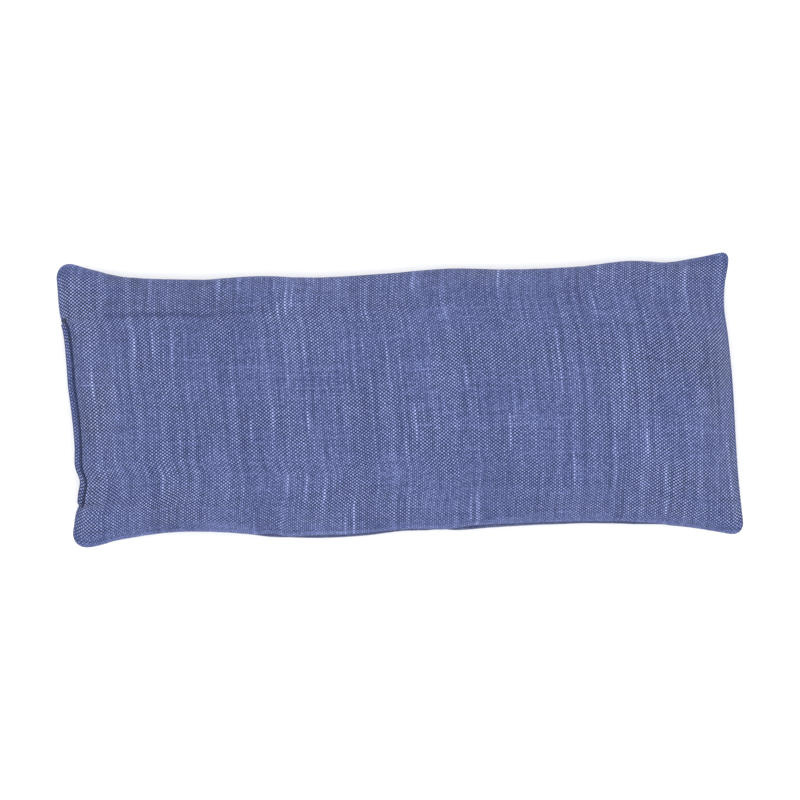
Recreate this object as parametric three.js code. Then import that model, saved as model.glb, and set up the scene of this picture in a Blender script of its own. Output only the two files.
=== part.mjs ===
// A flax-filled eye pillow: a turned linen cover with an edge-stitched closing end, round a muslin pouch of seed.
// Millimetres, +X along the pillow with the closing end at -X, +Y across it, +Z up from where it lies.
// Every body is a stack of rings. A ring is a rounded rectangle that lies "inset" millimetres inside the
// outline of the flat cover, and filledPlan() then draws it in the way the filling draws in the real cover.
import * as THREE from "three";

// Driving dimensions.
const LENGTH = 231.6; // flat cover, seam to seam
const WIDTH = 98.5; // flat cover, seam to seam
const FRONT_RISE = 13.2; // from the seam's middle plane up to the top of the crown
const BACK_DROP = 10.8; // from the seam's middle plane down to the surface it lies on
const LINEN = 0.5; // thickness of the cover's cloth
const MUSLIN = 0.3; // thickness of the pouch's cloth
const THREAD = 0.4; // diameter of every sewing thread
const CLEARANCE = 0.3; // between pieces that touch

// The flat cover's outline and how the filling changes it.
const EAR_RADIUS = 5; // rounded corner of the turned cover
const RADIUS_GROWTH = 0.35; // how much rounder an outline gets for each millimetre that it lies further in
const ROUNDEST = 0.8; // the most that a corner radius may be, as a share of the half width
const LEAN = -2; // the long edge at +Y sits this much further along X than the middle
const LONG_EDGE_PULL = 0.078; // share of the half width drawn in at mid length, average of both edges
const LONG_EDGE_PULL_DIFFERENCE = 0.026; // added on the +Y edge and taken off on the -Y edge
const SHORT_EDGE_PULL = 0.014; // share of the half length drawn in at mid width
const PULL_POWER = 3.5; // higher keeps the long edges straight for longer before they run out into the ears

// The seam that runs round the cover, and the end that was closed after filling.
const SEAM_GAP = CLEARANCE / 2; // from the middle plane to each folded edge
const FOLD_ROOM = THREAD + 2 * CLEARANCE; // between a panel and its turned-in allowance
const SEAM_EDGE_RADIUS = 2.4;
const FLAT_EAR = 7; // an ear stays flat for this far in
const EAR_REACH = 26; // and swells to the full section this far from its corner
const CLOSING_LOW = -37;
const CLOSING_HIGH = 31;
const CLOSING_BLEND = 5; // along the edge, from open seam to pressed closing
const CLOSING_FLAT = 3.6; // width of the pressed strip
const CLOSING_EDGE_RADIUS = 1.5;
const CLOSING_STITCH_INSET = 2.5; // from the fold to the line of stitches
const SEAM_THREAD_INSET = 0.6;

// Insets at which a cover panel has a ring, from the fold inwards. The allowance uses the first few.
const FRONT_INSETS = [0, 0.35, 1.2, 2.4, 4, 6, 10, 16, 25, 38];
const BACK_INSETS = [0, 0.35, 1.2, 2.4, 4, 6, 10, 16, 26];
const ALLOWANCE_RINGS = 6; // the turned-in allowance is about 8 mm along the cloth
const COVER_DOME = 0.8; // lower makes the filled section fuller beside its edge

// The inner pouch: two muslin panels with a flat seam allowance left outside.
const POUCH_LENGTH = LENGTH - 12;
const POUCH_WIDTH = WIDTH - 8;
const POUCH_RADIUS = 14;
const POUCH_FIN = 5.5; // the flat allowance round the pouch
const POUCH_STITCH_INSET = 4.2;
const FRONT_POUCH_INSETS = [0, POUCH_FIN, 6.3, 9, 14, 21, 34];
const BACK_POUCH_INSETS = [0, POUCH_FIN, 6.3, 9, 14, 22];
const POUCH_SHORTER_THAN_COVER = LINEN + CLEARANCE; // in height, on each side
const POUCH_DOME = 0.6;
const SEED_INSET = 3 * CLEARANCE; // the seed lies this much further in than the muslin round it

// How finely the outlines are drawn.
const COVER_LONG_STEPS = 12;
const CLOSING_STEPS = 4;
const POUCH_LONG_STEPS = 10;
const POUCH_SHORT_STEPS = 4;
const CORNER_STEPS = 3;
const THREAD_CURVE_SEGMENTS = 3;

const lastOf = (list) => list[list.length - 1];
const smooth = (x) => THREE.MathUtils.smoothstep(x, 0, 1);
const mix = THREE.MathUtils.lerp;

function matte(name, color, roughness) {
  return new THREE.MeshStandardMaterial({ name, color, roughness, metalness: 0 });
}

const linen = matte("linen", 0x666f9d, 0.92);
const closingNavy = matte("closing_thread", 0x2b3350, 0.75);
const seamBlue = matte("seam_thread", 0x56608e, 0.75);
const muslin = matte("muslin", 0xe6dfcf, 0.92);
const pouchWhite = matte("pouch_thread", 0xe9e4d8, 0.8);
const seed = matte("seed", 0x6a4326, 0.55);

// Where a point of the flat cover lies once the cover is full.
function filledPlan(x, y) {
  const along = x / (LENGTH / 2);
  const across = y / (WIDTH / 2);
  const pull = (LONG_EDGE_PULL + LONG_EDGE_PULL_DIFFERENCE * across) * (1 - Math.abs(along) ** PULL_POWER);
  const shorten = SHORT_EDGE_PULL * (1 - across * across);
  return new THREE.Vector2(x * (1 - shorten) + LEAN * across, y * (1 - pull));
}

// Stations go counterclockwise round a rounded rectangle. Each one is a place on the inner rectangle that
// joins the corner centres (cornerX, cornerY from -1 to 1) and the direction out of it.
function makeStations(longFractions, shortFractions) {
  const stations = [];
  const side = (fractions, place, outX, outY) => {
    for (const f of fractions) stations.push({ ...place(f), outX, outY });
  };
  const corner = (cornerX, cornerY, startAngle) => {
    for (let i = 1; i < CORNER_STEPS; i++) {
      const angle = startAngle + ((Math.PI / 2) * i) / CORNER_STEPS;
      stations.push({ cornerX, cornerY, outX: Math.cos(angle), outY: Math.sin(angle) });
    }
  };
  const backwards = (fractions) => [...fractions].reverse();
  side(shortFractions, (f) => ({ cornerX: 1, cornerY: f }), 1, 0);
  corner(1, 1, 0);
  side(backwards(longFractions), (f) => ({ cornerX: f, cornerY: 1 }), 0, 1);
  corner(-1, 1, Math.PI / 2);
  side(backwards(shortFractions), (f) => ({ cornerX: -1, cornerY: f }), -1, 0);
  corner(-1, -1, Math.PI);
  side(longFractions, (f) => ({ cornerX: f, cornerY: -1 }), 0, -1);
  corner(1, -1, 1.5 * Math.PI);
  return stations;
}

// The flat point of a station on the rounded rectangle that lies `inset` inside the given outline.
function flatPoint(station, outline, inset) {
  const halfLength = outline.length / 2 - inset;
  const halfWidth = outline.width / 2 - inset;
  const radius = Math.min(outline.radius + RADIUS_GROWTH * inset, ROUNDEST * halfWidth);
  const x = station.cornerX * (halfLength - radius) + station.outX * radius;
  const y = station.cornerY * (halfWidth - radius) + station.outY * radius;
  return new THREE.Vector2(x, y);
}

function spacePoint(station, outline, inset, z) {
  const flat = flatPoint(station, outline, inset);
  const plan = filledPlan(flat.x, flat.y);
  return new THREE.Vector3(plan.x, plan.y, z);
}

// Even fractions from -1 to 1.
function evenFractions(steps) {
  return Array.from({ length: steps + 1 }, (_, i) => (2 * i) / steps - 1);
}

// A closed body from rings of equal length: the walls between them, and a flat cap over the first and last.
function ringBody(name, material, rings) {
  const count = rings[0].length;
  const positions = rings.flat().flatMap((p) => [p.x, p.y, p.z]);
  const triangles = [];
  for (let k = 0; k + 1 < rings.length; k++) {
    for (let j = 0; j < count; j++) {
      const next = (j + 1) % count;
      const [a, b] = [k * count + j, k * count + next];
      const [c, d] = [a + count, b + count];
      triangles.push([a, b, d], [a, d, c]);
    }
  }
  const cap = (k, flip) => {
    const outline = rings[k].map((p) => new THREE.Vector2(p.x, p.y));
    for (const [a, b, c] of THREE.ShapeUtils.triangulateShape(outline, [])) {
      const face = [a + k * count, b + k * count, c + k * count];
      triangles.push(flip ? face.reverse() : face);
    }
  };
  cap(0, true);
  cap(rings.length - 1, false);
  const geometry = new THREE.BufferGeometry();
  geometry.setAttribute("position", new THREE.Float32BufferAttribute(positions, 3));
  const facesIn = signedVolume(positions, triangles) < 0;
  const outward = facesIn ? triangles.map(([a, b, c]) => [a, c, b]) : triangles;
  geometry.setIndex(outward.flat());
  geometry.computeVertexNormals();
  const mesh = new THREE.Mesh(geometry, material);
  mesh.name = name;
  return mesh;
}

function signedVolume(positions, triangles) {
  const at = (i) => new THREE.Vector3(positions[3 * i], positions[3 * i + 1], positions[3 * i + 2]);
  return triangles.reduce((sum, [a, b, c]) => sum + at(a).dot(at(b).cross(at(c))) / 6, 0);
}

// A round thread along a list of points.
function thread(name, material, points) {
  const path = new THREE.CatmullRomCurve3(points, false, "centripetal");
  const section = new THREE.Shape();
  section.absarc(0, 0, THREAD / 2, 0, 2 * Math.PI);
  const geometry = new THREE.ExtrudeGeometry(section, {
    steps: 2 * points.length,
    curveSegments: THREAD_CURVE_SEGMENTS,
    bevelEnabled: false,
    extrudePath: path,
  });
  const mesh = new THREE.Mesh(geometry, material);
  mesh.name = name;
  return mesh;
}

const coverOutline = { length: LENGTH, width: WIDTH, radius: EAR_RADIUS };
const coverCornerY = WIDTH / 2 - EAR_RADIUS;

const closingFractions = Array.from({ length: CLOSING_STEPS + 1 }, (_, i) => {
  const low = CLOSING_LOW + CLOSING_BLEND;
  const high = CLOSING_HIGH - CLOSING_BLEND;
  return (low + ((high - low) * i) / CLOSING_STEPS) / coverCornerY;
});
const shortFractions = [-1, CLOSING_LOW / coverCornerY, ...closingFractions, CLOSING_HIGH / coverCornerY, 1];
const coverStations = makeStations(evenFractions(COVER_LONG_STEPS), shortFractions);

// How far a station is into the pressed closing end, 0 to 1.
function closingShare(station) {
  if (station.outX > -1) return 0;
  const y = flatPoint(station, coverOutline, 0).y;
  return smooth((y - CLOSING_LOW) / CLOSING_BLEND) * smooth((CLOSING_HIGH - y) / CLOSING_BLEND);
}

// How far a station is into an ear, 0 to 1.
function earShare(station) {
  const p = flatPoint(station, coverOutline, 0);
  return 1 - smooth(Math.hypot(LENGTH / 2 - Math.abs(p.x), WIDTH / 2 - Math.abs(p.y)) / EAR_REACH);
}

// The section of the cover at one station: how high its face is at an inset, and the room in its fold.
function coverSection(station, height, reach) {
  const closing = closingShare(station);
  const edgeRadius = mix(SEAM_EDGE_RADIUS, CLOSING_EDGE_RADIUS, closing);
  const flat = mix(FLAT_EAR * earShare(station), CLOSING_FLAT, closing);
  const room = mix(FOLD_ROOM, CLEARANCE, closing);
  const rise = (inset) => {
    const edge = 1 - Math.min(inset, edgeRadius) / edgeRadius;
    const dome = 1 - THREE.MathUtils.clamp((inset - flat) / (reach - flat), 0, 1);
    return edgeRadius * Math.sqrt(1 - edge * edge) + (height - edgeRadius) * (1 - dome * dome) ** COVER_DOME;
  };
  return { rise, room };
}

// A point `depth` under the outer face of the cover, straight into the cloth: how far in it is and how high.
function underFace(section, inset, depth) {
  const step = 0.02;
  if (inset === 0) return { inset: depth, z: 0 };
  const slope = (section.rise(inset + step) - section.rise(inset - step)) / (2 * step);
  const length = Math.hypot(1, slope);
  return { inset: inset + (depth * slope) / length, z: section.rise(inset) - depth / length };
}

const seamHeight = BACK_DROP;
const coverZ = (side, z) => seamHeight + side * (SEAM_GAP + z);

// One linen panel. Side is 1 for the front and -1 for the back. Its rings run from the middle of the outer
// face to the fold, in along both faces of the turned-in allowance, and back to the middle on the inner face.
function coverPanel(name, side, height, insets) {
  const reach = lastOf(insets);
  const allowance = insets.slice(0, ALLOWANCE_RINGS);
  const ring = (inset, depth, lift) =>
    coverStations.map((station) => {
      const section = coverSection(station, height - SEAM_GAP, reach);
      const allDepth = depth(section.room);
      const p = underFace(section, inset, allDepth);
      return spacePoint(station, coverOutline, p.inset, coverZ(side, Math.max(p.z, lift)));
    });
  const rings = [
    ...[...insets].reverse().map((inset) => ring(inset, () => 0, 0)),
    ...allowance.map((inset) => ring(inset, (room) => 2 * LINEN + room, 0)),
    ...[...allowance].reverse().map((inset) => ring(inset, (room) => LINEN + room, LINEN)),
    ...insets.map((inset) => ring(inset, () => LINEN, LINEN)),
  ];
  return ringBody(name, linen, rings);
}

// The lockstitch of the turned seam lies in the fold of its panel, on the stations outside the closing end.
function coverSeamThread(name, side, height, reach) {
  const start = coverStations.findIndex((s) => s.outX === -1 && s.cornerY <= CLOSING_LOW / coverCornerY);
  const points = [...coverStations.slice(start), ...coverStations.slice(0, start)]
    .filter((station) => closingShare(station) === 0)
    .map((station) => {
      const section = coverSection(station, height - SEAM_GAP, reach);
      const p = underFace(section, SEAM_THREAD_INSET, LINEN + section.room / 2);
      return spacePoint(station, coverOutline, p.inset, coverZ(side, p.z));
    });
  return thread(name, seamBlue, points);
}

// The edge stitching lies on the outer face of the pressed closing end.
function closingThread(name, side, height, reach) {
  const points = coverStations
    .filter((station) => station.outX === -1 && Math.abs(station.cornerY) < 1)
    .map((station) => {
      const section = coverSection(station, height - SEAM_GAP, reach);
      const z = section.rise(CLOSING_STITCH_INSET) + CLEARANCE + THREAD / 2;
      return spacePoint(station, coverOutline, CLOSING_STITCH_INSET, coverZ(side, z));
    });
  return thread(name, closingNavy, points);
}

const pouchOutline = { length: POUCH_LENGTH, width: POUCH_WIDTH, radius: POUCH_RADIUS };
const pouchStations = makeStations(evenFractions(POUCH_LONG_STEPS), evenFractions(POUCH_SHORT_STEPS));

// How far the pouch swells above its flat allowance at one inset.
function pouchRise(inset, height, reach) {
  const dome = 1 - THREE.MathUtils.clamp((inset - POUCH_FIN) / (reach - POUCH_FIN), 0, 1);
  return height * (1 - dome * dome) ** POUCH_DOME;
}

function pouchRing(inset, z) {
  return pouchStations.map((station) => spacePoint(station, pouchOutline, inset, z));
}

function pouchPanel(name, side, coverHeight, insets) {
  const height = coverHeight - POUCH_SHORTER_THAN_COVER - SEAM_GAP - MUSLIN;
  const zAt = (inset, depth) => coverZ(side, pouchRise(inset, height, lastOf(insets)) + MUSLIN - depth);
  const rings = [
    ...[...insets].reverse().map((inset) => pouchRing(inset, zAt(inset, 0))),
    ...insets.map((inset) => pouchRing(inset, zAt(inset, MUSLIN))),
  ];
  return ringBody(name, muslin, rings);
}

// The pouch is sewn round three sides, filled, and closed with a straight run along its short side at -X.
function pouchThread(name, side, stations) {
  const z = MUSLIN + CLEARANCE + THREAD / 2;
  const height = coverZ(side, z);
  const points = stations.map((station) => spacePoint(station, pouchOutline, POUCH_STITCH_INSET, height));
  return thread(name, pouchWhite, points);
}

const closesPouch = (station) => station.outX === -1;
const pouchSplit = pouchStations.findLastIndex(closesPouch) + 1;
const pouchOrder = [...pouchStations.slice(pouchSplit), ...pouchStations.slice(0, pouchSplit)];
const pouchSeamStations = pouchOrder.filter((station) => !closesPouch(station));
const pouchClosingStations = pouchOrder.filter(closesPouch);

// The seed fills the pouch to a clearance under the muslin, above and below.
function seedFill(name) {
  const half = (side, coverHeight, insets) => {
    const height = coverHeight - POUCH_SHORTER_THAN_COVER - SEAM_GAP - MUSLIN - CLEARANCE;
    const inside = insets.filter((inset) => inset > POUCH_FIN);
    return inside.map((inset) => {
      const z = pouchRise(inset, height, lastOf(insets));
      return pouchRing(inset + SEED_INSET, coverZ(side, z));
    });
  };
  const below = half(-1, BACK_DROP, BACK_POUCH_INSETS).reverse();
  const above = half(1, FRONT_RISE, FRONT_POUCH_INSETS);
  return ringBody(name, seed, [...below, ...above]);
}

const pillow = new THREE.Group();
pillow.add(
  coverPanel("cover_front_panel", 1, FRONT_RISE, FRONT_INSETS),
  coverPanel("cover_back_panel", -1, BACK_DROP, BACK_INSETS),
  coverSeamThread("cover_seam_needle_thread", 1, FRONT_RISE, lastOf(FRONT_INSETS)),
  coverSeamThread("cover_seam_bobbin_thread", -1, BACK_DROP, lastOf(BACK_INSETS)),
  closingThread("closing_needle_thread", 1, FRONT_RISE, lastOf(FRONT_INSETS)),
  closingThread("closing_bobbin_thread", -1, BACK_DROP, lastOf(BACK_INSETS)),
  pouchPanel("pouch_front_panel", 1, FRONT_RISE, FRONT_POUCH_INSETS),
  pouchPanel("pouch_back_panel", -1, BACK_DROP, BACK_POUCH_INSETS),
  pouchThread("pouch_seam_needle_thread", 1, pouchSeamStations),
  pouchThread("pouch_seam_bobbin_thread", -1, pouchSeamStations),
  pouchThread("pouch_closing_needle_thread", 1, pouchClosingStations),
  pouchThread("pouch_closing_bobbin_thread", -1, pouchClosingStations),
  seedFill("seed_fill"),
);

export default pillow;
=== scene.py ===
"""A linen eye pillow filled with flaxseed, lying on a pale table and seen from straight above.

The cover is two linen panels, sewn right sides together, turned, filled, and closed with a line of
edge stitching at the -X end. Shapes are worked out in millimetres on a grid of the flat cover, and turned
into metres at the end.
"""

import math

import bpy
import numpy as np
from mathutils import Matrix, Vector


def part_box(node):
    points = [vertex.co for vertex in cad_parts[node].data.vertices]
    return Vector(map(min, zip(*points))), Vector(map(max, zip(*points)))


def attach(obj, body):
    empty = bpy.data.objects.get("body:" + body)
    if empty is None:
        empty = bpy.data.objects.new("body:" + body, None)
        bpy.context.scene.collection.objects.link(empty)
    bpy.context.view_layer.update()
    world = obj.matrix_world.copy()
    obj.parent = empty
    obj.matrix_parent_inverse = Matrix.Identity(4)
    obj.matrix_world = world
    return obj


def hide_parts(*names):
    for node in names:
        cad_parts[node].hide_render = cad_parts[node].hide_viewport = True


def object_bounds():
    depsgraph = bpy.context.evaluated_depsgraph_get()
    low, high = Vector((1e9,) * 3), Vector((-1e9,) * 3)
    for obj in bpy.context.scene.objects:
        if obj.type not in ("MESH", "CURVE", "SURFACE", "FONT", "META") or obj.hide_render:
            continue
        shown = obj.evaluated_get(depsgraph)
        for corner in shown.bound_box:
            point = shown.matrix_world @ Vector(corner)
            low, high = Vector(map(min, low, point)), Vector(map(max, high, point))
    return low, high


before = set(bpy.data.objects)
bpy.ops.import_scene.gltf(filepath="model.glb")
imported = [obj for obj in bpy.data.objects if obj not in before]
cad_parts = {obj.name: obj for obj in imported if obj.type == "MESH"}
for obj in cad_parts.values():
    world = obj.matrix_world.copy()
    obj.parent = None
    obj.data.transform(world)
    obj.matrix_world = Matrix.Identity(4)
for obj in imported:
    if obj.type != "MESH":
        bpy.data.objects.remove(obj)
cad_low, cad_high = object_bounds()
MM = 0.001

# ---------------------------------------------------------------- sizes, in millimetres, from the frame
# The pillow before its edges are drawn in and its cloth settles, so it differs a little from the box.
HALF_LENGTH = (cad_high.x - cad_low.x) / 2 / MM - 0.2
HALF_WIDTH = (cad_high.y - cad_low.y) / 2 / MM + 1.2
THICKNESS = (cad_high.z - cad_low.z) / MM - 1.0
SEAM_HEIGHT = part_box("cover_front_panel")[0].z / MM
FLAT_LENGTH = 2 * HALF_LENGTH + 1  # of one panel, seam to seam
FLAT_WIDTH = 2 * HALF_WIDTH + 2

LINEN = 0.45  # cloth thicknesses
MUSLIN = 0.25
ALLOWANCE = 8  # turned in behind the seam
EAR_RADII = {(-1, 1): 5.5, (1, 1): 3.2, (1, -1): 5.5, (-1, -1): 6.5}  # by the signs of X and Y
EAR_ZONE = 13  # the corner of the flat panel that the rounding reshapes

CLOSING_LOW = -37  # the stretch of the -X end that was stitched shut after filling
CLOSING_HIGH = 31
CLOSING_INSET = 2.8  # from the fold to the line of stitches
CLOSING_HALF_THICKNESS = 1.1
STITCH = 3.0  # of the closing end and of the pouch
SEAM_STITCH = 2.5
CLOSING_THREAD_RADIUS = 0.27
THREAD_RADIUS = 0.14  # of every other thread
SEAM_THREAD_INSET = 1.2  # in from the fold
SEAM_THREAD_DEPTH = 0.72  # under the cloth's outer face

# How far each edge is drawn in from the straight line between its two ears,
# as (share along the edge, millimetres).
TOP_EDGE = [
    (-1, 0), (-0.95, -0.1), (-0.91, 1.1), (-0.81, 4.0), (-0.6, 6.1), (-0.39, 5.5), (-0.24, 6.1), (-0.03, 5.3),
    (0.18, 4.0), (0.32, 4.6), (0.6, 4.0), (0.7, 2.8), (0.83, 3.1), (0.93, 1.5), (1, 0),
]
BOTTOM_EDGE = [
    (-1, 0), (-0.93, 0.4), (-0.86, 2.4), (-0.8, 3.6), (-0.7, 4.9), (-0.5, 3.9), (-0.4, 2.6), (-0.28, 2.0),
    (-0.14, 2.4), (0, 3.8), (0.16, 3.9), (0.4, 5.0), (0.62, 5.0), (0.77, 3.9), (0.93, 1.4), (1, 0),
]
LEFT_EDGE = [
    (-1, 0), (-0.9, 1.1), (-0.84, 1.7), (-0.74, 2.7), (-0.66, 4.2), (-0.6, 4.7), (-0.5, 5.5), (-0.44, 4.4),
    (-0.27, 4.4), (-0.1, 4.1), (0.02, 3.7), (0.12, 3.3), (0.3, 3.1), (0.5, 2.6), (0.54, 2.3), (0.585, 1.1),
    (0.63, 0.7), (0.7, 0.4), (0.8, 0.3), (1, 0),
]
RIGHT_EDGE = [(-1, 0), (-0.6, 0.9), (0.2, 1.3), (0.4, 1.8), (0.62, 2.6), (0.78, 1.8), (0.9, 0.4), (1, 0)]
LEAN = 1.75  # the top ears sit this much to the left and the bottom ears this much to the right

# How far the cloth beside each long seam bulges out past it, as (share along the edge, millimetres).
BOTTOM_OVERHANG = [
    (-1, 0), (-0.5, 0.05), (-0.44, 0.2), (-0.4, 0.9), (-0.355, 0.15), (-0.3, 0.5), (-0.15, 0.45), (0, 0.35),
    (0.13, 0.1), (0.19, 1.0), (0.35, 0.8), (0.5, 0.5), (0.72, 0.5), (0.8, 0.1), (1, 0),
]
TOP_OVERHANG = [(-1, 0), (-0.8, 0.5), (0, 0.7), (0.8, 0.5), (1, 0)]


# ---------------------------------------------------------------- small helpers
def smooth(x):
    """0 up to 0, 1 from 1 on, and an even slope in and out between."""
    x = np.clip(x, 0, 1)
    return x * x * (3 - 2 * x)


def curve_through(points):
    """A smooth curve through (place, value) pairs, as a function of the place."""
    places, values = np.array(points, float).T
    slopes = np.gradient(values, places)

    def at(x):
        x = np.clip(x, places[0], places[-1])
        i = np.clip(np.searchsorted(places, x) - 1, 0, len(places) - 2)
        gap = places[i + 1] - places[i]
        t = (x - places[i]) / gap
        start = (2 * t**3 - 3 * t**2 + 1) * values[i] + (t**3 - 2 * t**2 + t) * gap * slopes[i]
        end = (3 * t**2 - 2 * t**3) * values[i + 1] + (t**3 - t**2) * gap * slopes[i + 1]
        return start + end

    return at


def new_object(name, vertices, faces):
    """A smooth-shaded mesh from points in metres."""
    mesh = bpy.data.meshes.new(name)
    mesh.from_pydata(np.asarray(vertices).tolist(), [], faces)
    mesh.update()
    mesh.polygons.foreach_set("use_smooth", [True] * len(mesh.polygons))
    obj = bpy.data.objects.new(name, mesh)
    bpy.context.scene.collection.objects.link(obj)
    return obj


# ---------------------------------------------------------------- the filled pillow as a formula
def round_ears(x, y):
    """Moves points of the flat panel so that its square corners become round ones."""
    from_end = FLAT_LENGTH / 2 - np.abs(x)
    from_side = FLAT_WIDTH / 2 - np.abs(y)
    u = np.clip(1 - from_end / EAR_ZONE, 0, 1)
    v = np.clip(1 - from_side / EAR_ZONE, 0, 1)
    ring = np.maximum(u, v)
    half = EAR_ZONE * ring
    radius = sum(size * (np.sign(x) == i) * (np.sign(y) == j) for (i, j), size in EAR_RADII.items()) * ring**2
    straight = half - radius
    along = np.minimum(u, v) / np.maximum(ring, 1e-9) * (straight + radius * math.pi / 4)
    angle = np.clip((along - straight) / np.maximum(radius, 1e-9), 0, math.pi / 4)
    on_arc = along > straight
    far = np.where(on_arc, straight + radius * np.cos(angle), half)
    near = np.where(on_arc, straight + radius * np.sin(angle), along)
    inside = (u > 0) & (v > 0)
    new_x = FLAT_LENGTH / 2 - EAR_ZONE + np.where(u >= v, far, near)
    new_y = FLAT_WIDTH / 2 - EAR_ZONE + np.where(u >= v, near, far)
    return (
        np.where(inside, np.sign(x) * new_x, x),
        np.where(inside, np.sign(y) * new_y, y),
    )


top_pull, bottom_pull = curve_through(TOP_EDGE), curve_through(BOTTOM_EDGE)
left_pull, right_pull = curve_through(LEFT_EDGE), curve_through(RIGHT_EDGE)
bottom_overhang, top_overhang = curve_through(BOTTOM_OVERHANG), curve_through(TOP_OVERHANG)


def plan(x, y):
    """Where a point of the flat panel lies, seen from above, once the pillow is full."""
    s, t = 2 * x / FLAT_LENGTH, 2 * y / FLAT_WIDTH
    up, right = (t + 1) / 2, (s + 1) / 2
    top = HALF_WIDTH - top_pull(s) - top_overhang(s)
    bottom = HALF_WIDTH - bottom_pull(s) - bottom_overhang(s)
    across = up * top - (1 - up) * bottom
    along = right * (HALF_LENGTH - right_pull(t)) - (1 - right) * (HALF_LENGTH - left_pull(t)) - LEAN * t
    return along, across


def closing_share(y):
    """1 where the -X end is stitched shut, 0 where it is seamed."""
    return smooth((y - CLOSING_LOW) / 3) * smooth((CLOSING_HIGH - y) / 3)


def swell(distance, reach, power):
    """Height of a stuffed edge, 0 to 1, at a distance in from its seam."""
    return (1 - (1 - np.clip(distance / reach, 0, 1)) ** 2.2) ** power


def fullness(x, y, side_reach, end_reach):
    """How much of its full height the pillow has over a point of the flat panel, 0 to 1.

    Each reach is how far in from the seams the cloth has risen to its full height."""
    from_side = FLAT_WIDTH / 2 - np.abs(y)
    from_end = FLAT_LENGTH / 2 - np.abs(x)
    pressed = np.where(x < 0, CLOSING_INSET * closing_share(y), 0)
    side = swell(from_side, side_reach, 0.62)
    end = swell(np.maximum(from_end - pressed, 0), end_reach, 0.66)
    return side * end


FRONT_REACH = (46, 36)  # from the long seams and from the ends
BACK_REACH = (34, 28)
# The seam rides higher on the -Y side than on the +Y side, because the pillow lies a little rolled.
SEAM_TILT = 2.6
EAR_DROOP = 1.2
BULGE_REACH = 5.0  # along the cloth, from a long seam to the bulge's furthest point
HANGING_PUSH = 1.84  # makes the cloth beside a long seam hang straight down from it


def seam_height(x, y):
    s, t = 2 * x / FLAT_LENGTH, 2 * y / FLAT_WIDTH
    return SEAM_HEIGHT - EAR_DROOP * s**6 * t**6 - SEAM_TILT * t * (1 - s**4)


def bulge(x, y, side):
    """How much the cloth beside a long seam is pushed out.

    The front stands out past the +Y seam and the back past the -Y one, as far as each overhang says."""
    s = 2 * x / FLAT_LENGTH
    distance = (FLAT_WIDTH / 2 - np.abs(y)) / BULGE_REACH
    overhang = np.maximum(top_overhang(s) if side == 1 else bottom_overhang(s), 0)
    push = (HANGING_PUSH + np.sqrt(overhang / 0.18)) * distance * np.exp(1 - distance) * (1 - s**6)
    return np.where(np.sign(y) == side, side * push, 0)


def resting_shape(flat_x, flat_y, side):
    """The filled panel, front (side 1) or back (side -1), before the cloth has settled."""
    x, y = round_ears(flat_x, flat_y)
    along, across = plan(x, y)
    seam = seam_height(x, y)
    if side == 1:
        height = seam + (THICKNESS - seam) * fullness(x, y, *FRONT_REACH)
    else:
        height = seam - seam * fullness(x, y, *BACK_REACH)
    return np.stack([along, across + bulge(x, y, side), height], axis=-1)


# ---------------------------------------------------------------- cloth simulation of the cover
SIM_SCALE = 10  # Blender's cloth works best at about a metre
SIM_COLUMNS, SIM_ROWS = 116, 50
SIM_FRAMES = 18
FURTHEST_MOVE = 1.6  # no point of the cloth ends further than this from where it began
CLOSING_HOLD = 12  # how far in from the line of stitches the cloth still lies as it was pressed


def even_threads(shape, flat_x, flat_y):
    """Slides the grid's points along its own lines until the cloth is stretched evenly along each line."""
    for _ in range(3):
        shape = np.stack([even_line(line, flat_x) for line in shape])
        shape = np.stack([even_line(line, flat_y) for line in shape.transpose(1, 0, 2)]).transpose(1, 0, 2)
    return shape


def even_line(line, flat):
    """Slides a line's points along it until the gaps between them match the gaps on the flat cloth."""
    walked = np.concatenate([[0], np.cumsum(np.linalg.norm(np.diff(line, axis=0), axis=1))])
    wanted = walked[-1] * (flat - flat[0]) / (flat[-1] - flat[0])
    return np.stack([np.interp(wanted, walked, line[:, k]) for k in range(3)], axis=1)


def grid_faces(index, flip):
    """The four-sided faces of a grid of point numbers, facing the other way if flipped."""
    corners = [index[:-1, :-1], index[:-1, 1:], index[1:, 1:], index[1:, :-1]]
    faces = np.stack(corners[::-1] if flip else corners, axis=-1).reshape(-1, 4)
    return faces.tolist()


def sewn(front, back):
    """Numbers the points of two panels that share their edge.

    Returns both index grids, and the points in one list."""
    rows, columns = front.shape[:2]
    front_index = np.arange(rows * columns).reshape(rows, columns)
    back_index = front_index.copy()
    inner = np.arange((rows - 2) * (columns - 2)).reshape(rows - 2, columns - 2)
    back_index[1:-1, 1:-1] = rows * columns + inner
    points = np.concatenate([front.reshape(-1, 3), back[1:-1, 1:-1].reshape(-1, 3)])
    return front_index, back_index, points


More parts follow.
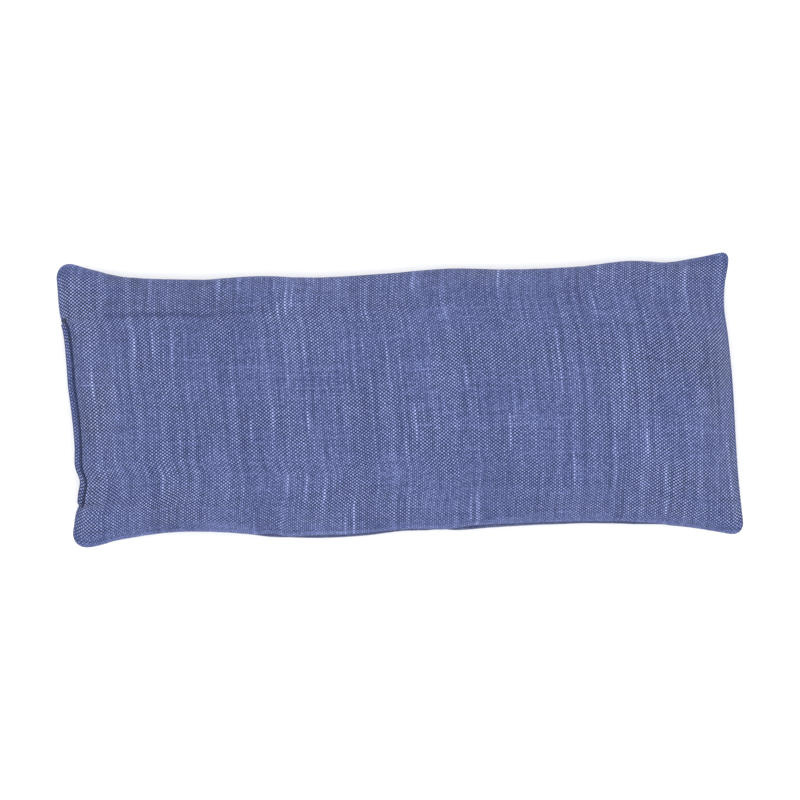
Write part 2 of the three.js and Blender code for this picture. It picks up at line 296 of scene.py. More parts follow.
def settle(front, back, flat_x, flat_y):
    """How far each point of both panels moves when the cloth runs round a filling that presses outwards."""
    front_index, back_index, start = sewn(front, back)
    faces = grid_faces(front_index, False) + grid_faces(back_index, True)
    cover = new_object("cloth_cover", start * MM * SIM_SCALE, faces)

    on_seam = np.ones(front.shape[:2], bool)
    on_seam[1:-1, 1:-1] = False
    seam = cover.vertex_groups.new(name="seam")
    seam.add(front_index[on_seam].tolist(), 1.0, "REPLACE")

    cloth = cover.modifiers.new("cloth", "CLOTH")
    settings = cloth.settings
    settings.quality = 8
    settings.mass = 0.02
    settings.tension_stiffness = 120
    settings.compression_stiffness = 120
    settings.shear_stiffness = 30
    settings.bending_stiffness = 0.6
    settings.air_damping = 3
    settings.use_pressure = True
    settings.uniform_pressure_force = 0.35
    settings.effector_weights.gravity = 0
    settings.vertex_group_shrink = "seam"
    settings.shrink_min = 0.0
    settings.shrink_max = 0.03
    cloth.collision_settings.use_collision = False
    scene = bpy.context.scene
    for number in range(1, SIM_FRAMES + 1):
        scene.frame_set(number)
    settled = np.empty(3 * len(start))
    evaluated = cover.evaluated_get(bpy.context.evaluated_depsgraph_get())
    evaluated.data.vertices.foreach_get("co", settled)
    settled = settled.reshape(-1, 3) / MM / SIM_SCALE
    bpy.data.objects.remove(cover)
    scene.frame_set(1)

    move = settled - start
    far = np.linalg.norm(move, axis=1, keepdims=True)
    move *= FURTHEST_MOVE * np.tanh(far / FURTHEST_MOVE) / np.maximum(far, 1e-9)
    move[:, 2] = np.maximum(move[:, 2], -start[:, 2])
    # The stitching holds the closing end as it is.
    x, y = np.meshgrid(flat_x, flat_y)
    free = 1 - closing_share(y) * (1 - smooth((x + FLAT_LENGTH / 2 - CLOSING_INSET) / CLOSING_HOLD))
    return move[front_index] * free[..., None], move[back_index] * free[..., None]


# ---------------------------------------------------------------- the settled panels, in fine detail
EDGE_STEPS = [0, 0.12, 0.3, 0.55, 0.85, 1.2, 1.6, 2.0, 2.4, 2.8, 3.2, 3.8, 4.5, 5.3, 6.2]
FINE_STEP = 1.0
FOLD_RADIUS = 0.55  # the seam is a groove between two folds
FOLD_REACH = 1.2  # over this far in from the seam, the panels part to the thickness below
SEAM_HALF_THICKNESS = 1.5
GROOVE_HALF_WIDTH = 0.42  # of the line of stitches
SEAM_SHADE = 0.7  # painted shade at the bottom of the seam and on the turned-in allowance
CREASE_Y = 31
CREASE_START, CREASE_END = -104, -52


def fine_places(length):
    """Places along a flat panel: close together beside both seams, and evenly spaced between."""
    inner = length / 2 - EDGE_STEPS[-1]
    middle = np.linspace(-inner, inner, round(2 * inner / FINE_STEP) + 1)
    edge = length / 2 - np.array(EDGE_STEPS[:-1])
    return np.concatenate([-edge, middle, edge[::-1]])


def cubic_weights(old, new):
    """The matrix that reads a smooth curve through evenly spaced values at new places."""
    step = old[1] - old[0]
    cell = np.clip(np.floor((new - old[0]) / step).astype(int), 0, len(old) - 2)
    t = (new - old[0]) / step - cell
    shares = [
        -0.5 * t + t**2 - 0.5 * t**3,
        1 - 2.5 * t**2 + 1.5 * t**3,
        0.5 * t + 2 * t**2 - 1.5 * t**3,
        -0.5 * t**2 + 0.5 * t**3,
    ]
    weights = np.zeros((len(new), len(old) + 2))
    for k, share in enumerate(shares):
        weights[np.arange(len(new)), cell + k] += share
    # The value before the first is the straight run on from the first two, and the same past the last.
    weights[:, 1] += 2 * weights[:, 0]
    weights[:, 2] -= weights[:, 0]
    weights[:, -2] += 2 * weights[:, -1]
    weights[:, -3] -= weights[:, -1]
    return weights[:, 1:-1]


def normals_of(shape, side):
    """Unit vectors out of a panel at each grid point."""
    across = np.gradient(shape, axis=0)
    along = np.gradient(shape, axis=1)
    out = np.cross(along, across) * side
    return out / np.maximum(np.linalg.norm(out, axis=-1, keepdims=True), 1e-9)


def outline_directions(shape):
    """For each grid point, the level direction out of the pillow at the nearest seam."""
    rows, columns = shape.shape[:2]
    loop = np.concatenate([shape[0, :-1], shape[:-1, -1], shape[-1, :0:-1], shape[:0:-1, 0]])[:, :2]
    tangent = np.roll(loop, -2, axis=0) - np.roll(loop, 2, axis=0)
    out = np.stack([tangent[:, 1], -tangent[:, 0]], axis=1)
    out /= np.linalg.norm(out, axis=1, keepdims=True)
    bottom = out[:columns]
    right = out[columns - 1 : columns + rows - 1]
    top = out[columns + rows - 2 : 2 * columns + rows - 2][::-1]
    left = np.concatenate([out[2 * columns + rows - 3 :], out[:1]])[::-1]
    return bottom, right, top, left


fine_x = fine_places(FLAT_LENGTH)
fine_y = fine_places(FLAT_WIDTH)
FINE_X, FINE_Y = np.meshgrid(fine_x, fine_y)
FROM_END = FLAT_LENGTH / 2 - np.abs(FINE_X)
FROM_SIDE = FLAT_WIDTH / 2 - np.abs(FINE_Y)
FROM_SEAM = np.minimum(FROM_END, FROM_SIDE)


def quarter_round(distance, radius):
    """How high a rounded edge of that radius stands at a distance in from it."""
    return radius * np.sqrt(1 - (1 - np.clip(distance / radius, 0, 1)) ** 2)


def refined(move, coarse_x, coarse_y):
    """A coarse grid of vectors, read smoothly on the fine grid."""
    to_x, to_y = cubic_weights(coarse_x, fine_x), cubic_weights(coarse_y, fine_y)
    return np.einsum("ij,jkc,lk->ilc", to_y, move, to_x)


def crease():
    """A faint pressed line that runs along the front, in from the +Y ear at the closing end."""
    across = np.exp(-(((FINE_Y - CREASE_Y) / 0.7) ** 2))
    return 0.45 * across * smooth((FINE_X - CREASE_START) / 8) * smooth((CREASE_END - FINE_X) / 14)


def detailed_panels(front, back):
    """Adds the folded seam, the pressed closing end and its line of stitches to both panels.

    Returns the front and the back, and the painted shade of each of their points, 0 to 1, darkest in the seam
    and the stitch groove."""
    closed = np.where(FINE_X < 0, closing_share(FINE_Y), 0)
    closed = closed * (FROM_END < FROM_SIDE)
    # The two panels meet all the way round, and part to the thickness of the turned-in cloth just inside.
    opening = quarter_round(FROM_SEAM, FOLD_REACH) / FOLD_REACH
    middle = (front + back) / 2
    half = (front - back) / 2 * opening[..., None]
    least = opening * (SEAM_HALF_THICKNESS + (CLOSING_HALF_THICKNESS - SEAM_HALF_THICKNESS) * closed)
    half[..., 2] = np.maximum(half[..., 2], least)
    front, back = middle + half, middle - half

    bottom, right, top, left = outline_directions(front)
    out = np.where((FINE_Y < 0)[..., None], bottom[None], top[None])
    ends = np.where((FINE_X < 0)[..., None], left[:, None], right[:, None])
    out = np.where((FROM_END < FROM_SIDE)[..., None], ends, out)
    tuck = FOLD_RADIUS - quarter_round(FROM_SEAM, FOLD_RADIUS)

    # The line of stitches pulls the cloth into a groove, deepest at each needle hole.
    hole = 0.5 + 0.5 * np.cos(2 * math.pi * FINE_Y / STITCH)
    beside = np.exp(-(((FROM_END - CLOSING_INSET) / GROOVE_HALF_WIDTH) ** 2))
    along_line = beside * (0.6 + 0.3 * hole) * closed
    # At its +Y end the line turns and runs out to the fold.
    turn = 0.7 * np.exp(-(((FINE_Y - CLOSING_HIGH) / 0.5) ** 2))
    turn = turn * smooth((CLOSING_INSET + 0.4 - FROM_END) / 0.6)
    groove = np.where(FINE_X < 0, np.maximum(along_line, turn), 0)
    # Painted shade: the linen's colour is made darker at the bottom of the seam, in the groove of the closing
    # stitches and along the front's crease.
    painted_seam_shade = SEAM_SHADE * np.exp(-((FROM_SEAM / 0.4) ** 2))
    painted_groove_shade = np.minimum(1, groove * 1.3)
    front_shade = np.maximum(painted_seam_shade, painted_groove_shade) + crease() * 0.7
    # Just below a long seam, the back panel lies in the shade of the fold above it.
    below_seam = 0.5 * np.exp(-((FROM_SIDE / 3.5) ** 2))
    back_shade = np.maximum(painted_seam_shade, np.maximum(painted_groove_shade, below_seam))
    for side, shape in ((1, front), (-1, back)):
        shape[..., :2] -= out * tuck[..., None]
        shape[..., 2] -= side * groove
    front[..., 2] -= crease()
    return front, back, front_shade, back_shade


# ---------------------------------------------------------------- cloth pieces from the panels
def sampled(grid, x, y):
    """Reads a fine grid of points or vectors at flat places x, y."""
    column = np.clip(np.searchsorted(fine_x, x) - 1, 0, len(fine_x) - 2)
    row = np.clip(np.searchsorted(fine_y, y) - 1, 0, len(fine_y) - 2)
    u = ((x - fine_x[column]) / (fine_x[column + 1] - fine_x[column]))[..., None]
    v = ((y - fine_y[row]) / (fine_y[row + 1] - fine_y[row]))[..., None]
    low = grid[row, column] * (1 - u) + grid[row, column + 1] * u
    high = grid[row + 1, column] * (1 - u) + grid[row + 1, column + 1] * u
    return low * (1 - v) + high * v


ALLOWANCE_STEPS = [0.5, 1.2, 2.2, 3.5, 5.0, 6.5, ALLOWANCE]
BACK_CUT = (331.0, 127.0, 0.0)  # the back panel is cut from another part of the cloth, this far away


def edge_loop(index):
    """The points round the edge of a grid, once round."""
    return np.concatenate([index[0, :-1], index[:-1, -1], index[-1, :0:-1], index[:0:-1, 0]])


def linen_panel(name, shape, shade, side):
    """One linen panel: its outer face, the fold at the seam and the turned-in allowance."""
    normals = normals_of(shape, side)
    index = np.arange(shape[..., 0].size).reshape(shape.shape[:2])
    points = [shape.reshape(-1, 3)]
    cloth = [np.stack([FINE_X.ravel(), FINE_Y.ravel(), shade.ravel()], axis=1)]
    faces = grid_faces(index, side < 0)

    loop = edge_loop(index)
    loop_x, loop_y = FINE_X.ravel()[loop], FINE_Y.ravel()[loop]
    last = loop
    for inset in ALLOWANCE_STEPS:
        x = loop_x * (1 - 2 * inset / FLAT_LENGTH)
        y = loop_y * (1 - 2 * inset / FLAT_WIDTH)
        closed = np.where(loop_x < 0, closing_share(loop_y), 0)
        depth = LINEN + 0.1 + 0.4 * (1 - closed) * math.exp(-((inset / 2.5) ** 2))
        depth = depth * min(1, inset / 0.5)
        ring = sampled(shape, x, y) - sampled(normals, x, y) * depth[:, None]
        points.append(ring)
        cloth.append(np.stack([x, y, np.full_like(x, SEAM_SHADE)], axis=1))
        here = sum(len(p) for p in points[:-1]) + np.arange(len(loop))
        strip = np.stack([last, np.roll(last, -1), np.roll(here, -1), here], axis=1)
        faces += (strip if side < 0 else strip[:, ::-1]).tolist()
        last = here

    piece = new_object(name, np.concatenate(points) * MM, faces)
    thread_places = np.concatenate(cloth)
    if side < 0:
        thread_places = thread_places + BACK_CUT
    add_cloth_places(piece, thread_places)
    thicken(piece, LINEN)
    return piece


def thicken(piece, millimetres):
    """Gives cloth its thickness, inwards from its outer face."""
    thickness = piece.modifiers.new("cloth thickness", "SOLIDIFY")
    thickness.thickness = millimetres * MM
    thickness.offset = -1


def add_cloth_places(piece, places):
    """Where each point lies on the flat cloth, in millimetres, for the weave to follow.

    Linen has a third number as well: its painted shade, 1 at the bottom of a groove and 0 on open cloth."""
    attribute = piece.data.attributes.new("cloth_place", "FLOAT_VECTOR", "POINT")
    filled = np.zeros((len(places), 3))
    filled[:, : places.shape[1]] = places
    attribute.data.foreach_set("vector", filled.ravel())


def tube(name, path, radius, sides=8):
    """A thread of round section along a list of points."""
    path = np.asarray(path)
    tangent = np.gradient(path, axis=0)
    tangent /= np.linalg.norm(tangent, axis=1, keepdims=True)
    aside = np.cross(tangent, [0, 0, 1.0])
    aside /= np.maximum(np.linalg.norm(aside, axis=1, keepdims=True), 1e-9)
    up = np.cross(aside, tangent)
    angle = np.arange(sides) * 2 * math.pi / sides
    ring = aside[:, None] * np.cos(angle)[:, None] + up[:, None] * np.sin(angle)[:, None]
    points = (path[:, None] + radius * ring).reshape(-1, 3)
    index = np.arange(len(points)).reshape(len(path), sides)
    index = np.concatenate([index, index[:, :1]], axis=1)
    faces = grid_faces(index, False) + [index[0, :sides].tolist(), index[-1, :sides][::-1].tolist()]
    piece = new_object(name, points * MM, faces)
    walked = np.concatenate([[0], np.cumsum(np.linalg.norm(np.diff(path, axis=0), axis=1))])
    turn = np.broadcast_to(np.arange(sides) / sides, (len(path), sides))
    add_cloth_places(piece, np.stack([np.repeat(walked, sides), turn.ravel()], axis=1))
    return piece


def stitches(points, out, stitch, lift, dive, per_stitch=10):
    """A thread that runs over the cloth and dives into it at each needle hole."""
    walked = np.concatenate([[0], np.cumsum(np.linalg.norm(np.diff(points, axis=0), axis=1))])
    count = max(1, round(walked[-1] / stitch))
    wanted = np.linspace(0, walked[-1], count * per_stitch + 1)
    height = lift - (lift + dive) * (1 - np.abs(np.sin(math.pi * wanted / walked[-1] * count)) ** 0.5)
    on_path = np.stack([np.interp(wanted, walked, points[:, k]) for k in range(3)], axis=1)
    off_path = np.stack([np.interp(wanted, walked, out[:, k]) for k in range(3)], axis=1)
    return on_path + off_path * height[:, None]


# ---------------------------------------------------------------- shader formulas
class Wire:
    """One number travelling through a material, so that a formula reads as a formula."""

    def __init__(self, tree, socket):
        self.tree, self.socket = tree, socket

    def math(self, operation, *others):
        node = self.tree.nodes.new("ShaderNodeMath")
        node.operation = operation
        for slot, value in zip(node.inputs, (self, *others)):
            if isinstance(value, Wire):
                self.tree.links.new(value.socket, slot)
            else:
                slot.default_value = value
        return Wire(self.tree, node.outputs[0])

    def __add__(self, other):
        return self.math("ADD", other)

    def __mul__(self, other):
        return self.math("MULTIPLY", other)

    def __sub__(self, other):
        return self.math("SUBTRACT", other)

    def __rsub__(self, other):
        return (self * -1) + other

    def __truediv__(self, other):
        return self.math("DIVIDE", other)

    __radd__ = __add__
    __rmul__ = __mul__

    def floor(self):
        return self.math("FLOOR")

    def fract(self):
        return self.math("FRACT")

    def cos(self):
        return self.math("COSINE")

    def root(self):
        return self.math("SQRT")

    def at_least(self, other):
        return self.math("MAXIMUM", other)

    def above(self, other):
        return self.math("GREATER_THAN", other)

    def ramp(self, low, high):
        """0 below low, 1 above high and smooth between."""
        node = self.tree.nodes.new("ShaderNodeMapRange")
        node.interpolation_type = "SMOOTHSTEP"
        self.tree.links.new(self.socket, node.inputs["Value"])
        node.inputs["From Min"].default_value = low
        node.inputs["From Max"].default_value = high
        return Wire(self.tree, node.outputs["Result"])


class Shader:
    """A node material under construction."""

    def __init__(self, name, roughness, sheen=0.0):
        self.material = bpy.data.materials.new(name)
        self.material.use_nodes = True
        self.tree = self.material.node_tree
        self.surface = self.tree.nodes["Principled BSDF"]
        self.surface.inputs["Roughness"].default_value = roughness
        self.surface.inputs["Specular IOR Level"].default_value = 0.25
        self.surface.inputs["Sheen Weight"].default_value = sheen
        self.surface.inputs["Sheen Roughness"].default_value = 0.6

    def cloth_place(self):
        """The two coordinates on the flat cloth, in millimetres, and the painted shade of grooves there, 0 to
        1.
        """
        attribute = self.tree.nodes.new("ShaderNodeAttribute")
        attribute.attribute_name = "cloth_place"
        split = self.tree.nodes.new("ShaderNodeSeparateXYZ")
        self.tree.links.new(attribute.outputs["Vector"], split.inputs[0])
        return [Wire(self.tree, split.outputs[axis]) for axis in ("X", "Y", "Z")]

    def vector(self, x, y, z):
        node = self.tree.nodes.new("ShaderNodeCombineXYZ")
        for slot, value in zip(node.inputs, (x, y, z)):
            if isinstance(value, Wire):
                self.tree.links.new(value.socket, slot)
            else:
                slot.default_value = value
        return node.outputs[0]

    def noise(self, x, y, z=0.0, detail=1.0):
        """Smooth noise, 0 to 1 and mostly near 0.5, with features about one unit across."""
        node = self.tree.nodes.new("ShaderNodeTexNoise")
        node.inputs["Scale"].default_value = 1.0
        node.inputs["Detail"].default_value = detail
        self.tree.links.new(self.vector(x, y, z), node.inputs["Vector"])
        return Wire(self.tree, node.outputs["Fac"])

    def chance(self, number, seed):
        """A steady random number, 0 to 1, for each whole number."""
        node = self.tree.nodes.new("ShaderNodeTexWhiteNoise")
        node.noise_dimensions = "2D"
        self.tree.links.new(self.vector(number, seed, 0.0), node.inputs["Vector"])
        return Wire(self.tree, node.outputs["Value"])

    def colour_between(self, share, stops):
        """Colour along a ramp of (place, colour) stops."""
        node = self.tree.nodes.new("ShaderNodeValToRGB")
        elements = node.color_ramp.elements
        for place, colour in stops[1:-1]:
            elements.new(place)
        for element, (place, colour) in zip(elements, stops):
            element.position = place
            element.color = (*colour, 1)
        self.tree.links.new(share.socket, node.inputs["Fac"])
        self.tree.links.new(node.outputs["Color"], self.surface.inputs["Base Color"])

    def bump(self, height, millimetres):
        node = self.tree.nodes.new("ShaderNodeBump")
        node.inputs["Distance"].default_value = millimetres * MM
        self.tree.links.new(height.socket, node.inputs["Height"])
        self.tree.links.new(node.outputs["Normal"], self.surface.inputs["Normal"])


def plain_weave(shader, warp_pitch, weft_pitch, slub, crimp=0.42):
    """A plain weave: warp threads run along the cloth's Y and weft threads along its X, over and under.

    Returns the height of the upper thread, 1 where a warp thread is on top, how pale that thread is
    and 1 where it is a slub."""
    x, y, _ = shader.cloth_place()

    def sway(broad_seed, close_seed):
        """How far the threads wander from straight, in millimetres."""
        broad = (shader.noise(x * 0.05, y * 0.05, broad_seed) - 0.5) * 1.2
        close = (shader.noise(x * 0.4, y * 0.4, close_seed) - 0.5) * 0.22
        return broad + close

    u, v = (x + sway(3.1, 5.2)) / warp_pitch, (y + sway(7.7, 9.4)) / weft_pitch
    warp, weft = u.floor(), v.floor()
    in_warp, in_weft = u - warp - 0.5, v - weft - 0.5
    # 1 where the warp thread passes over, -1 where it passes under.
    over = ((warp + weft) * 0.5).fract().above(0.25) * 2 - 1

    warp_swell = shader.noise(warp * 7.31, y * 0.04, 1.5)
    weft_swell = shader.noise(weft * 5.17, x * 0.05, 11.5)
    warp_slub = warp_swell.ramp(0.68, 0.76) * slub
    weft_slub = weft_swell.ramp(0.74, 0.80) * slub
    warp_width = (warp_swell - 0.5) * 0.35 + warp_slub * 0.1 + 0.86
    weft_width = (weft_swell - 0.5) * 0.35 + weft_slub * 0.1 + 0.86

    def thread_height(side, along, width, up):
        round_top = (1 - (side * 2 / width).math("POWER", 2.0)).at_least(0.0).root()
        return round_top * 0.6 + (along * math.pi).cos() * up * crimp

    warp_height = thread_height(in_warp, in_weft, warp_width, over)
    weft_height = thread_height(in_weft, in_warp, weft_width, over * -1)
    warp_on_top = warp_height.above(weft_height)
    height = warp_height.at_least(weft_height)

    warp_tone = (shader.chance(warp, 0.3) - 0.5) * 0.1 + (warp_swell - 0.5) * 0.3
    weft_tone = (shader.chance(weft, 0.8) - 0.5) * 0.1 + (weft_swell - 0.5) * 0.3
    float_tone = (shader.chance(warp, weft) - 0.5) * 0.16
    tone = warp_tone * warp_on_top + weft_tone * (1 - warp_on_top) + float_tone
    slub_here = warp_slub * (0.55 + warp_on_top * 0.45) + weft_slub * (1 - warp_on_top)
    return height, warp_on_top, tone, slub_here


WARP_PITCH, WEFT_PITCH = 0.717, 0.571


def linen_material():
    """Periwinkle linen: pale warp floats, darker weft floats, uneven threads, slubs and a soft sheen."""
    shader = Shader("linen", 0.85, sheen=0.08)
    height, warp_on_top, tone, slub = plain_weave(shader, WARP_PITCH, WEFT_PITCH, slub=1.0)
    x, y, painted_shade = shader.cloth_place()
    checker = warp_on_top * 2 - 1
    opened = shader.noise(x * 0.045, y * 0.045, 40.0, detail=2.0).ramp(0.35, 0.65)
    edge = x.math("ABSOLUTE").ramp(60, 115)
    # Beside the long seams the cloth is stretched smooth, so its weave shows less contrast there and its
    # colour is a little paler; right at the fold, where the cloth stands up in a rounded crest, a painted
    # highlight runs along it.
    taut = y.math("ABSOLUTE").ramp(FLAT_WIDTH / 2 - 7, FLAT_WIDTH / 2 - 2.5)
    painted_ridge_highlight = y.math("ABSOLUTE").ramp(FLAT_WIDTH / 2 - 2.6, FLAT_WIDTH / 2 - 1.4)
    contrast = (opened * 0.12 + edge * 0.1 + 0.14) * (1 - taut * 0.6)
    level = (1 - opened) * 0.05 + (1 - edge) * 0.03 + taut * 0.03 + painted_ridge_highlight * 0.08 + 0.42
    cloudy = (shader.noise(x * 0.04, y * 0.04, 20.0, detail=2.0) - 0.5) * 0.12
    warp_bands = (shader.noise(x * 0.35, y * 0.012, 24.0) - 0.5) * 0.06
    weft_bands = (shader.noise(x * 0.012, y * 0.35, 28.0) - 0.5) * 0.06
    warp_fibre = shader.noise(x * 9.0, y * 1.6, 30.0, detail=2.0) * warp_on_top
    weft_fibre = shader.noise(x * 1.6, y * 9.0, 34.0, detail=2.0) * (1 - warp_on_top)
    fibre = (warp_fibre + weft_fibre - 0.5) * 0.4
    lit = height.ramp(-0.1, 0.95) * 0.8 + 0.2
    pale = checker * contrast + tone + fibre + cloudy + warp_bands + weft_bands + level
    share = lit * pale * 0.75 + slub * 0.09
    # Painted shade: darker in the seam, the stitch groove and the crease, and on the back below the long
    # seams.
    share = share * (1 - painted_shade * 0.75)
    shader.colour_between(
        share,
        [
            (0.0, (0.001, 0.003, 0.014)),
            (0.2, (0.019, 0.029, 0.1)),
            (0.45, (0.118, 0.15, 0.335)),
            (0.75, (0.38, 0.44, 0.78)),
            (1.0, (0.6, 0.66, 0.9)),
        ],
    )
    shader.bump(height, 0.16)
    return shader.material


def thread_material(name, dark, light, roughness=0.7):
    """Twisted sewing thread."""
    shader = Shader(name, roughness, sheen=0.1)
    along, turn, _ = shader.cloth_place()
    strand = ((along * 1.6 + turn * 2) * (2 * math.pi)).cos() * 0.5 + 0.5
    fuzz = shader.noise(along * 6.0, turn * 6.0, 2.0, detail=2.0)
    shader.colour_between(strand * 0.7 + fuzz * 0.3, [(0.0, dark), (1.0, light)])
    shader.bump(strand, 0.06)
    return shader.material


def muslin_material():
    """Unbleached muslin, a finer and more even weave than the linen."""
    shader = Shader("muslin", 0.9, sheen=0.1)
    height, _, tone, slub = plain_weave(shader, 0.5, 0.5, slub=0.4)
    # Darker where the threads dip under each other: painted shade between the threads.
    share = height.ramp(0.0, 0.9) * (tone * 0.6 + 0.7) + slub * 0.1
    shader.colour_between(share, [(0.0, (0.26, 0.21, 0.14)), (1.0, (0.78, 0.73, 0.63))])
    shader.bump(height, 0.1)
    return shader.material


def seed_material():
    """Glossy brown flaxseed with paler seeds and bits of lavender between."""
    shader = Shader("seed", 0.4)
    coordinates = shader.tree.nodes.new("ShaderNodeTexCoord")
    cells = shader.tree.nodes.new("ShaderNodeTexVoronoi")
    cells.inputs["Scale"].default_value = 420
    shader.tree.links.new(coordinates.outputs["Object"], cells.inputs["Vector"])
    split = shader.tree.nodes.new("ShaderNodeSeparateXYZ")
    shader.tree.links.new(cells.outputs["Color"], split.inputs[0])
    kind = Wire(shader.tree, split.outputs["X"])
    distance = Wire(shader.tree, cells.outputs["Distance"])
    dome_and_painted_shade = 1 - distance.ramp(0.1, 0.75)
    # Each seed is paler at its middle and darker towards its rim: painted shade between the seeds, and the
    # same dome is also the seed's bump.
    share = dome_and_painted_shade * 0.45 + kind * 0.55
    shader.colour_between(
        share,
        [
            (0.0, (0.02, 0.008, 0.004)),
            (0.45, (0.16, 0.06, 0.022)),
            (0.85, (0.34, 0.17, 0.07)),
            (1.0, (0.3, 0.22, 0.38)),
        ],
    )
    shader.bump(dome_and_painted_shade, 0.8)
    return shader.material


# ---------------------------------------------------------------- making the pieces
def finished(piece, material, slot, *nodes):
    """Gives a piece its material, puts it in the root body and hides the CAD nodes it stands for. The slot
    argument is not used.
    """
    piece.data.materials.append(material)
    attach(piece, "root")
    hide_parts(*nodes)
    return piece


def filled(flat_x, flat_y, side):
    """The filled panel on a grid of flat places, with its cloth stretched evenly."""
    return even_threads(resting_shape(*np.meshgrid(flat_x, flat_y), side), flat_x, flat_y)


front_fine = filled(fine_x, fine_y, 1)
back_fine = filled(fine_x, fine_y, -1)
coarse_x = np.linspace(-FLAT_LENGTH / 2, FLAT_LENGTH / 2, SIM_COLUMNS + 1)
coarse_y = np.linspace(-FLAT_WIDTH / 2, FLAT_WIDTH / 2, SIM_ROWS + 1)
coarse = [filled(coarse_x, coarse_y, side) for side in (1, -1)]
front_move, back_move = settle(*coarse, coarse_x, coarse_y)
front_fine = front_fine + refined(front_move, coarse_x, coarse_y)
back_fine = back_fine + refined(back_move, coarse_x, coarse_y)
front_fine, back_fine, front_shade, back_shade = detailed_panels(front_fine, back_fine)

linen = linen_material()
navy = thread_material("navy_thread", (0.004, 0.006, 0.014), (0.03, 0.04, 0.08))
blue = thread_material("seam_thread", (0.03, 0.04, 0.1), (0.14, 0.17, 0.34))
white = thread_material("pouch_thread", (0.5, 0.46, 0.38), (0.88, 0.85, 0.78))
muslin = muslin_material()
seed = seed_material()

front_panel = linen_panel("linen_front_panel", front_fine, front_shade, 1)
back_panel = linen_panel("linen_back_panel", back_fine, back_shade, -1)
finished(front_panel, linen, "linen", "cover_front_panel")
finished(back_panel, linen, "linen", "cover_back_panel")


def closing_stitches(name, shape, side):
    """The edge stitching, seen on one face of the closing end."""
    y = np.linspace(CLOSING_LOW, CLOSING_HIGH, 240)
    x = np.full_like(y, CLOSING_INSET - FLAT_LENGTH / 2)
    turn_x = np.linspace(CLOSING_INSET, 0.3, 12)[1:] - FLAT_LENGTH / 2
    x = np.concatenate([x, turn_x])
    y = np.concatenate([y, np.full_like(turn_x, CLOSING_HIGH)])
    out = np.array([0, 0, side]) + np.zeros((len(y), 3))
    path = stitches(sampled(shape, x, y), out, STITCH, lift=0.42, dive=0.1)
    return tube(name, path, CLOSING_THREAD_RADIUS)


for name, shape, side, node in (
    ("closing_stitches_front", front_fine, 1, "closing_needle_thread"),
    ("closing_stitches_back", back_fine, -1, "closing_bobbin_thread"),
):
    finished(closing_stitches(name, shape, side), navy, "closing_thread", node)


def seam_path(places, shape, side, depth):
    """Points and directions along flat places on a panel, under its outer face."""
    x, y = places.T
    out = sampled(normals_of(shape, side), x, y)
    return sampled(shape, x, y) - out * depth, out


def seam_places(inset, half_length, half_width, start_y, end_y):
    """Flat places along a seam line: from the -X end at start_y round the other three sides to end_y."""
    corners = [
        (-half_length, start_y),
        (-half_length, -half_width),
        (half_length, -half_width),
        (half_length, half_width),
        (-half_length, half_width),
        (-half_length, end_y),
    ]
    corners = np.array(corners)
    corners = corners - np.sign(corners) * [inset, 0] * (np.abs(corners[:, :1]) == half_length)
    corners[1:-1, 1] -= np.sign(corners[1:-1, 1]) * inset
    legs = []
    for a, b in zip(corners, corners[1:]):
        legs.append(np.linspace(a, b, max(2, round(np.linalg.norm(b - a) / 0.5))))
    return np.concatenate([leg[:-1] for leg in legs] + [corners[-1:]])


seam_line = seam_places(SEAM_THREAD_INSET, FLAT_LENGTH / 2, FLAT_WIDTH / 2, CLOSING_LOW, CLOSING_HIGH)
for name, shape, side, node in (
    ("seam_stitches_front", front_fine, 1, "cover_seam_needle_thread"),
    ("seam_stitches_back", back_fine, -1, "cover_seam_bobbin_thread"),
):
    points, out = seam_path(seam_line, shape, side, SEAM_THREAD_DEPTH)
    thread = tube(name, stitches(points, out, SEAM_STITCH, lift=0.05, dive=0.05), THREAD_RADIUS, 6)
    finished(thread, blue, "seam_thread", node)

# ---------------------------------------------------------------- inner pouch and seed
POUCH_INSET = 6.5
POUCH_FIN = 4.0  # the flat seam allowance round the pouch
POUCH_SEAM = 3.0  # from the pouch's edge to its line of stitches
POUCH_STEP = 1.5
POUCH_REACH = 16  # how far in from the fin the pouch swells to its full depth
POUCH_GAP = 0.25  # between the linen and the muslin
FIN_HALF_GAP = 0.15  # keeps the two layers of the fin apart
SEED_GAP = 0.15  # between the muslin and the seed


def pouch_grid():
    """Flat places on a pouch panel, and how far in from its edge each one is."""
    half_x, half_y = FLAT_LENGTH / 2 - POUCH_INSET, FLAT_WIDTH / 2 - POUCH_INSET
    x = np.linspace(-half_x, half_x, round(2 * half_x / POUCH_STEP) + 1)
    y = np.linspace(-half_y, half_y, round(2 * half_y / POUCH_STEP) + 1)
    x, y = np.meshgrid(x, y)
    from_edge = np.minimum(half_x - np.abs(x), half_y - np.abs(y))
    return x, y, from_edge


def pouch_shape(side, extra_depth=0.0):
    """One face of the pouch: flat fins in the cover's middle, then a swell up against the linen."""
    x, y, from_edge = pouch_grid()
    middle = (sampled(front_fine, x, y) + sampled(back_fine, x, y)) / 2
    shape = front_fine if side == 1 else back_fine
    depth = LINEN + POUCH_GAP + extra_depth
    under = sampled(shape, x, y) - sampled(normals_of(shape, side), x, y) * depth
    share = swell(np.maximum(from_edge - POUCH_FIN, 0), POUCH_REACH, 0.6)[..., None]
    ply = np.array([0, 0, side * FIN_HALF_GAP])
    shape = middle * (1 - share) + under * share + ply * (1 - share)
    return shape, np.stack([x, y], axis=-1), from_edge


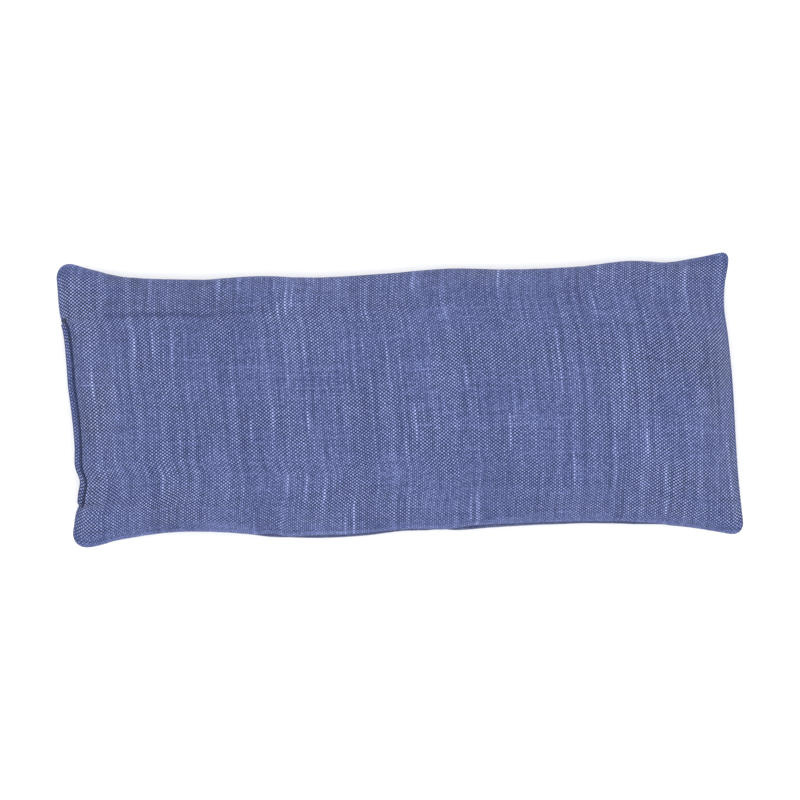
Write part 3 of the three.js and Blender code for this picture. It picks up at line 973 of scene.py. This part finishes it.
for name, side, node in (("pouch_front", 1, "pouch_front_panel"), ("pouch_back", -1, "pouch_back_panel")):
    shape, places, _ = pouch_shape(side)
    index = np.arange(shape[..., 0].size).reshape(shape.shape[:2])
    piece = new_object(name, shape.reshape(-1, 3) * MM, grid_faces(index, side < 0))
    add_cloth_places(piece, places.reshape(-1, 2))
    thicken(piece, MUSLIN)
    finished(piece, muslin, "muslin", node)
    stitch_x, stitch_y = places[..., 0].max() - POUCH_SEAM, places[..., 1].max() - POUCH_SEAM
    round_three = seam_places(0, stitch_x, stitch_y, -stitch_y, stitch_y)
    closing = np.stack([np.full(120, -stitch_x), np.linspace(-stitch_y, stitch_y, 120)], axis=1)
    middle_fine = (front_fine + back_fine) / 2
    for kind, line in (("seam", round_three), ("closing", closing)):
        points = sampled(middle_fine, *line.T) + np.array([0, 0, side * 0.3])
        out = np.zeros_like(points) + [0, 0, side]
        half_name = "needle" if side == 1 else "bobbin"
        path = stitches(points, out, STITCH, lift=0.05, dive=0.2)
        thread = tube(f"pouch_{kind}_{half_name}", path, THREAD_RADIUS, 6)
        finished(thread, white, "pouch_thread", f"pouch_{kind}_{half_name}_thread")


def seed_lump():
    """The loose seed as one lump that fills the pouch."""
    upper, _, from_edge = pouch_shape(1, MUSLIN + SEED_GAP)
    lower, _, _ = pouch_shape(-1, MUSLIN + SEED_GAP)
    keep_rows = np.flatnonzero((from_edge >= POUCH_FIN + 1).any(axis=1))
    keep_columns = np.flatnonzero((from_edge >= POUCH_FIN + 1).any(axis=0))
    upper = upper[np.ix_(keep_rows, keep_columns)].copy()
    lower = lower[np.ix_(keep_rows, keep_columns)].copy()
    rim = np.ones(upper.shape[:2], bool)
    rim[1:-1, 1:-1] = False
    upper[rim] = (upper[rim] + lower[rim]) / 2
    upper_index, lower_index, points = sewn(upper, lower)
    faces = grid_faces(upper_index, False) + grid_faces(lower_index, True)
    return new_object("seed_lump", points * MM, faces)


lump = finished(seed_lump(), seed, "seed", "seed_fill")

# ---------------------------------------------------------------- floor, lights and camera
floor = new_object("floor", [(-3, -3, 0), (3, -3, 0), (3, 3, 0), (-3, 3, 0)], [[0, 1, 2, 3]])
floor_material = bpy.data.materials.new("floor")
floor_material.use_nodes = True
floor_material.node_tree.nodes["Principled BSDF"].inputs["Base Color"].default_value = (0.93, 0.93, 0.93, 1)
floor.data.materials.append(floor_material)


def area_light(name, place, size, power):
    """A round soft light that points at the pillow and isn't seen itself."""
    light = bpy.data.lights.new(name, "AREA")
    light.shape = "DISK"
    light.size = size
    light.energy = power
    obj = bpy.data.objects.new(name, light)
    bpy.context.scene.collection.objects.link(obj)
    obj.location = place
    obj.rotation_euler = Vector(place).to_track_quat("Z", "Y").to_euler()
    obj.visible_camera = False


area_light("key", (-0.1, -0.4, 1.9), 2.2, 16)
area_light("fill", (0.2, 0.4, 2.1), 2.4, 8)
world = bpy.data.worlds.new("studio")
bpy.context.scene.world = world
world.use_nodes = True
world.node_tree.nodes["Background"].inputs["Color"].default_value = (1, 1, 1, 1)
world.node_tree.nodes["Background"].inputs["Strength"].default_value = 1.25

VIEW_WIDTH = 275.5
CAMERA_HEIGHT = 2500
camera_data = bpy.data.cameras.new("camera")
camera_data.sensor_width = 36
camera_data.lens = 36 * CAMERA_HEIGHT / VIEW_WIDTH
camera = bpy.data.objects.new("camera", camera_data)
bpy.context.scene.collection.objects.link(camera)
camera.location = (0, 0, CAMERA_HEIGHT * MM)
camera.rotation_euler = (0, 0, math.radians(-1.115))
bpy.context.scene.camera = camera
bpy.context.scene.view_settings.view_transform = "Standard"
